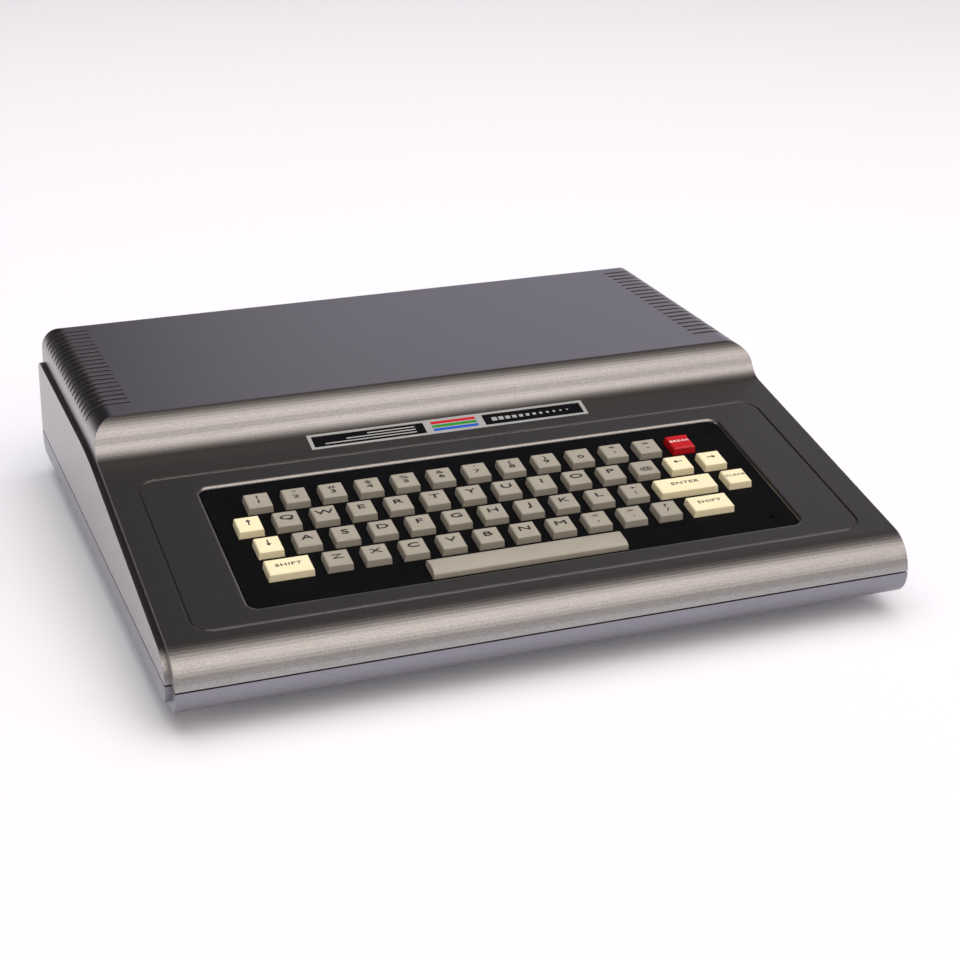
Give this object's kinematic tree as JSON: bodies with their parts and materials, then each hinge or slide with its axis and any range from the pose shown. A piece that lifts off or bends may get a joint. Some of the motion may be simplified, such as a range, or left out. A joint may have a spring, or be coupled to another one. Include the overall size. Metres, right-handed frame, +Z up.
{
  "type": "home computer",
  "caption": "Wedge-shaped home computer with a built-in square-key keyboard, raised vented rear housing, rear sockets and a side cartridge door",
  "frame": {"origin": "centre of the footprint on the table", "axes": "+X to the right along the keyboard, +Y to the rear, +Z up"},
  "size_m": [0.376, 0.347, 0.089],
  "materials": {
    "case_paint": "moulded case sprayed with gunmetal metallic paint, fine sparkle, satin",
    "lower_paint": "moulded lower case in bluish grey metallic paint, satin",
    "panel_black": "fine matte black",
    "key_grey": "warm grey key plastic with dark legends, semi-matte",
    "key_cream": "cream key plastic with dark legends, semi-matte",
    "key_red": "red key plastic with a light legend, semi-matte",
    "badge_metal": "brushed silver frame with printed fields",
    "foot_rubber": "black moulded rubber",
    "black_plastic": "black moulded plastic",
    "light_plastic": "light grey slider plastic",
    "door_plastic": "dark grey moulded plastic",
    "steel": "zinc-plated steel",
    "tin_can": "tinned steel sheet",
    "fin_metal": "plain extruded aluminium",
    "board_green": "glass-fibre circuit board with green solder mask and black components",
    "frame_plastic": "dark moulded key frame",
    "ribbon_film": "flat cable with grey jacket",
    "core_steel": "varnished laminated core with wound coils"
  },
  "bodies": {
    "case": {"upper_case": "case_paint", "lower_case": "lower_paint", "key_surround": "panel_black", "name_badge": "badge_metal", "rubber_feet": "foot_rubber", "case_screws": "steel", "door_hinge_pin": "steel", "din_sockets": "black_plastic", "rf_modulator": "tin_can", "cord_bushing": "foot_rubber", "main_board": "board_green", "shield_can": "tin_can", "power_transformer": "core_steel", "cartridge_connector": "black_plastic", "key_guide_frame": "frame_plastic", "key_contact_board": "board_green", "keyboard_ribbon": "ribbon_film", "regulator_heat_sink": "fin_metal"},
    "number_keys": {"number_keys": "key_grey"},
    "sign_keys": {"sign_keys": "key_grey"},
    "key_q": {"key_q": "key_grey"},
    "key_w": {"key_w": "key_grey"},
    "key_e": {"key_e": "key_grey"},
    "key_r": {"key_r": "key_grey"},
    "key_t": {"key_t": "key_grey"},
    "key_y": {"key_y": "key_grey"},
    "key_u": {"key_u": "key_grey"},
    "key_i": {"key_i": "key_grey"},
    "key_o": {"key_o": "key_grey"},
    "key_p": {"key_p": "key_grey"},
    "key_a": {"key_a": "key_grey"},
    "key_s": {"key_s": "key_grey"},
    "key_d": {"key_d": "key_grey"},
    "key_f": {"key_f": "key_grey"},
    "key_g": {"key_g": "key_grey"},
    "key_h": {"key_h": "key_grey"},
    "key_j": {"key_j": "key_grey"},
    "key_k": {"key_k": "key_grey"},
    "key_l": {"key_l": "key_grey"},
    "key_z": {"key_z": "key_grey"},
    "key_x": {"key_x": "key_grey"},
    "key_c": {"key_c": "key_grey"},
    "key_v": {"key_v": "key_grey"},
    "key_b": {"key_b": "key_grey"},
    "key_n": {"key_n": "key_grey"},
    "key_m": {"key_m": "key_grey"},
    "key_break": {"key_break": "key_red"},
    "key_up": {"key_up": "key_cream"},
    "key_down": {"key_down": "key_cream"},
    "key_left": {"key_left": "key_cream"},
    "key_right": {"key_right": "key_cream"},
    "key_shift_left": {"key_shift_left": "key_cream"},
    "key_shift_right": {"key_shift_right": "key_cream"},
    "key_enter": {"key_enter": "key_cream"},
    "key_clear": {"key_clear": "key_cream"},
    "key_space": {"key_space": "key_grey"},
    "power_button": {"power_button": "black_plastic"},
    "reset_button": {"reset_button": "black_plastic"},
    "cartridge_door": {"cartridge_door": "door_plastic"},
    "channel_switch": {"channel_switch": "light_plastic"}
  },
  "joints": [
    {"name": "number_press", "type": "slide", "parent": "case", "child": "number_keys", "axis": [0, 0.184, -0.9829], "range_m": [0, 0.0022], "stiffness_N_per_m": 450, "springref_m": -0.0015},
    {"name": "sign_press", "type": "slide", "parent": "case", "child": "sign_keys", "axis": [0, 0.184, -0.9829], "range_m": [0, 0.0022], "stiffness_N_per_m": 450, "springref_m": -0.0015},
    {"name": "press_q", "type": "slide", "parent": "case", "child": "key_q", "axis": [0, 0.184, -0.9829], "range_m": [0, 0.0022], "stiffness_N_per_m": 150, "springref_m": -0.0015},
    {"name": "press_w", "type": "slide", "parent": "case", "child": "key_w", "axis": [0, 0.184, -0.9829], "range_m": [0, 0.0022], "stiffness_N_per_m": 150, "springref_m": -0.0015},
    {"name": "press_e", "type": "slide", "parent": "case", "child": "key_e", "axis": [0, 0.184, -0.9829], "range_m": [0, 0.0022], "stiffness_N_per_m": 150, "springref_m": -0.0015},
    {"name": "press_r", "type": "slide", "parent": "case", "child": "key_r", "axis": [0, 0.184, -0.9829], "range_m": [0, 0.0022], "stiffness_N_per_m": 150, "springref_m": -0.0015},
    {"name": "press_t", "type": "slide", "parent": "case", "child": "key_t", "axis": [0, 0.184, -0.9829], "range_m": [0, 0.0022], "stiffness_N_per_m": 150, "springref_m": -0.0015},
    {"name": "press_y", "type": "slide", "parent": "case", "child": "key_y", "axis": [0, 0.184, -0.9829], "range_m": [0, 0.0022], "stiffness_N_per_m": 150, "springref_m": -0.0015},
    {"name": "press_u", "type": "slide", "parent": "case", "child": "key_u", "axis": [0, 0.184, -0.9829], "range_m": [0, 0.0022], "stiffness_N_per_m": 150, "springref_m": -0.0015},
    {"name": "press_i", "type": "slide", "parent": "case", "child": "key_i", "axis": [0, 0.184, -0.9829], "range_m": [0, 0.0022], "stiffness_N_per_m": 150, "springref_m": -0.0015},
    {"name": "press_o", "type": "slide", "parent": "case", "child": "key_o", "axis": [0, 0.184, -0.9829], "range_m": [0, 0.0022], "stiffness_N_per_m": 150, "springref_m": -0.0015},
    {"name": "press_p", "type": "slide", "parent": "case", "child": "key_p", "axis": [0, 0.184, -0.9829], "range_m": [0, 0.0022], "stiffness_N_per_m": 150, "springref_m": -0.0015},
    {"name": "press_a", "type": "slide", "parent": "case", "child": "key_a", "axis": [0, 0.184, -0.9829], "range_m": [0, 0.0022], "stiffness_N_per_m": 150, "springref_m": -0.0015},
    {"name": "press_s", "type": "slide", "parent": "case", "child": "key_s", "axis": [0, 0.184, -0.9829], "range_m": [0, 0.0022], "stiffness_N_per_m": 150, "springref_m": -0.0015},
    {"name": "press_d", "type": "slide", "parent": "case", "child": "key_d", "axis": [0, 0.184, -0.9829], "range_m": [0, 0.0022], "stiffness_N_per_m": 150, "springref_m": -0.0015},
    {"name": "press_f", "type": "slide", "parent": "case", "child": "key_f", "axis": [0, 0.184, -0.9829], "range_m": [0, 0.0022], "stiffness_N_per_m": 150, "springref_m": -0.0015},
    {"name": "press_g", "type": "slide", "parent": "case", "child": "key_g", "axis": [0, 0.184, -0.9829], "range_m": [0, 0.0022], "stiffness_N_per_m": 150, "springref_m": -0.0015},
    {"name": "press_h", "type": "slide", "parent": "case", "child": "key_h", "axis": [0, 0.184, -0.9829], "range_m": [0, 0.0022], "stiffness_N_per_m": 150, "springref_m": -0.0015},
    {"name": "press_j", "type": "slide", "parent": "case", "child": "key_j", "axis": [0, 0.184, -0.9829], "range_m": [0, 0.0022], "stiffness_N_per_m": 150, "springref_m": -0.0015},
    {"name": "press_k", "type": "slide", "parent": "case", "child": "key_k", "axis": [0, 0.184, -0.9829], "range_m": [0, 0.0022], "stiffness_N_per_m": 150, "springref_m": -0.0015},
    {"name": "press_l", "type": "slide", "parent": "case", "child": "key_l", "axis": [0, 0.184, -0.9829], "range_m": [0, 0.0022], "stiffness_N_per_m": 150, "springref_m": -0.0015},
    {"name": "press_z", "type": "slide", "parent": "case", "child": "key_z", "axis": [0, 0.184, -0.9829], "range_m": [0, 0.0022], "stiffness_N_per_m": 150, "springref_m": -0.0015},
    {"name": "press_x", "type": "slide", "parent": "case", "child": "key_x", "axis": [0, 0.184, -0.9829], "range_m": [0, 0.0022], "stiffness_N_per_m": 150, "springref_m": -0.0015},
    {"name": "press_c", "type": "slide", "parent": "case", "child": "key_c", "axis": [0, 0.184, -0.9829], "range_m": [0, 0.0022], "stiffness_N_per_m": 150, "springref_m": -0.0015},
    {"name": "press_v", "type": "slide", "parent": "case", "child": "key_v", "axis": [0, 0.184, -0.9829], "range_m": [0, 0.0022], "stiffness_N_per_m": 150, "springref_m": -0.0015},
    {"name": "press_b", "type": "slide", "parent": "case", "child": "key_b", "axis": [0, 0.184, -0.9829], "range_m": [0, 0.0022], "stiffness_N_per_m": 150, "springref_m": -0.0015},
    {"name": "press_n", "type": "slide", "parent": "case", "child": "key_n", "axis": [0, 0.184, -0.9829], "range_m": [0, 0.0022], "stiffness_N_per_m": 150, "springref_m": -0.0015},
    {"name": "press_m", "type": "slide", "parent": "case", "child": "key_m", "axis": [0, 0.184, -0.9829], "range_m": [0, 0.0022], "stiffness_N_per_m": 150, "springref_m": -0.0015},
    {"name": "press_break", "type": "slide", "parent": "case", "child": "key_break", "axis": [0, 0.184, -0.9829], "range_m": [0, 0.0022], "stiffness_N_per_m": 150, "springref_m": -0.0015},
    {"name": "press_up", "type": "slide", "parent": "case", "child": "key_up", "axis": [0, 0.184, -0.9829], "range_m": [0, 0.0022], "stiffness_N_per_m": 150, "springref_m": -0.0015},
    {"name": "press_down", "type": "slide", "parent": "case", "child": "key_down", "axis": [0, 0.184, -0.9829], "range_m": [0, 0.0022], "stiffness_N_per_m": 150, "springref_m": -0.0015},
    {"name": "press_left", "type": "slide", "parent": "case", "child": "key_left", "axis": [0, 0.184, -0.9829], "range_m": [0, 0.0022], "stiffness_N_per_m": 150, "springref_m": -0.0015},
    {"name": "press_right", "type": "slide", "parent": "case", "child": "key_right", "axis": [0, 0.184, -0.9829], "range_m": [0, 0.0022], "stiffness_N_per_m": 150, "springref_m": -0.0015},
    {"name": "press_shift_left", "type": "slide", "parent": "case", "child": "key_shift_left", "axis": [0, 0.184, -0.9829], "range_m": [0, 0.0022], "stiffness_N_per_m": 150, "springref_m": -0.0015},
    {"name": "press_shift_right", "type": "slide", "parent": "case", "child": "key_shift_right", "axis": [0, 0.184, -0.9829], "range_m": [0, 0.0022], "stiffness_N_per_m": 150, "springref_m": -0.0015},
    {"name": "press_enter", "type": "slide", "parent": "case", "child": "key_enter", "axis": [0, 0.184, -0.9829], "range_m": [0, 0.0022], "stiffness_N_per_m": 150, "springref_m": -0.0015},
    {"name": "press_clear", "type": "slide", "parent": "case", "child": "key_clear", "axis": [0, 0.184, -0.9829], "range_m": [0, 0.0022], "stiffness_N_per_m": 150, "springref_m": -0.0015},
    {"name": "press_space", "type": "slide", "parent": "case", "child": "key_space", "axis": [0, 0.184, -0.9829], "range_m": [0, 0.0022], "stiffness_N_per_m": 450, "springref_m": -0.0015},
    {"name": "power_push", "type": "slide", "parent": "case", "child": "power_button", "axis": [0, -1, 0], "range_m": [0, 0.003]},
    {"name": "reset_push", "type": "slide", "parent": "case", "child": "reset_button", "axis": [0, -1, 0], "range_m": [0, 0.003], "stiffness_N_per_m": 200, "springref_m": -0.001},
    {"name": "door_swing", "type": "hinge", "parent": "case", "child": "cartridge_door", "pos_m": [0.1794, 0.075, 0.0568], "axis": [0, 1, 0], "range_deg": [0, 75], "stiffness_Nm_per_rad": 0.008, "springref_deg": -20.05},
    {"name": "channel_slide", "type": "slide", "parent": "case", "child": "channel_switch", "axis": [1, 0, 0], "range_m": [0, 0.004]}
  ]
}
